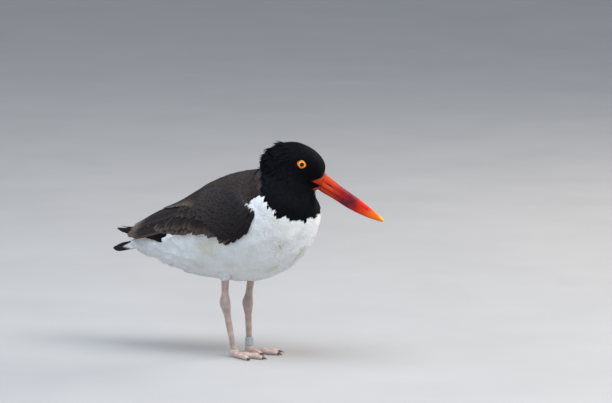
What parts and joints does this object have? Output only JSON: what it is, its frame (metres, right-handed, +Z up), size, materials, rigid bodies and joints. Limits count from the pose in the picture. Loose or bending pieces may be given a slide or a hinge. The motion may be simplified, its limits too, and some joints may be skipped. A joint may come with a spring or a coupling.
{
  "type": "american oystercatcher",
  "caption": "Life-size still model of a standing American oystercatcher with folded wings, head turned to its left, and a metal ring round its left leg.",
  "frame": {"origin": "on the floor, under the middle of the bird's bounding box", "axes": "+X the way the body faces, +Y the bird's left side, +Z up"},
  "size_m": [0.3176, 0.1152, 0.2378],
  "materials": {
    "white_feathers": "matt, soft body feathers",
    "black_feathers": "matt with a faint bluish gloss",
    "brown_feathers": "matt, worn paler at the feather edges",
    "bill": "satin horn, red with an orange tip",
    "lids": "bare orange skin",
    "eye": "wet and clear over a yellow iris with a black pupil",
    "legs": "satin skin with fine scales",
    "claws": "dark horn",
    "ring_metal": "dull, finely scratched"
  },
  "bodies": {
    "root": {"torso": "white_feathers", "neck": "black_feathers", "head": "black_feathers", "mantle": "brown_feathers", "right_wing": "brown_feathers", "left_wing": "brown_feathers", "tail": "white_feathers", "upper_bill": "bill", "lower_bill": "bill", "right_eye": "eye", "left_eye": "eye", "right_eyelids": "lids", "left_eyelids": "lids", "right_leg": "legs", "left_leg": "legs", "right_foot": "legs", "left_foot": "legs", "leg_ring": "ring_metal", "right_inner_claw": "claws", "right_middle_claw": "claws", "right_outer_claw": "claws", "left_inner_claw": "claws", "left_middle_claw": "claws", "left_outer_claw": "claws"}
  },
  "joints": []
}
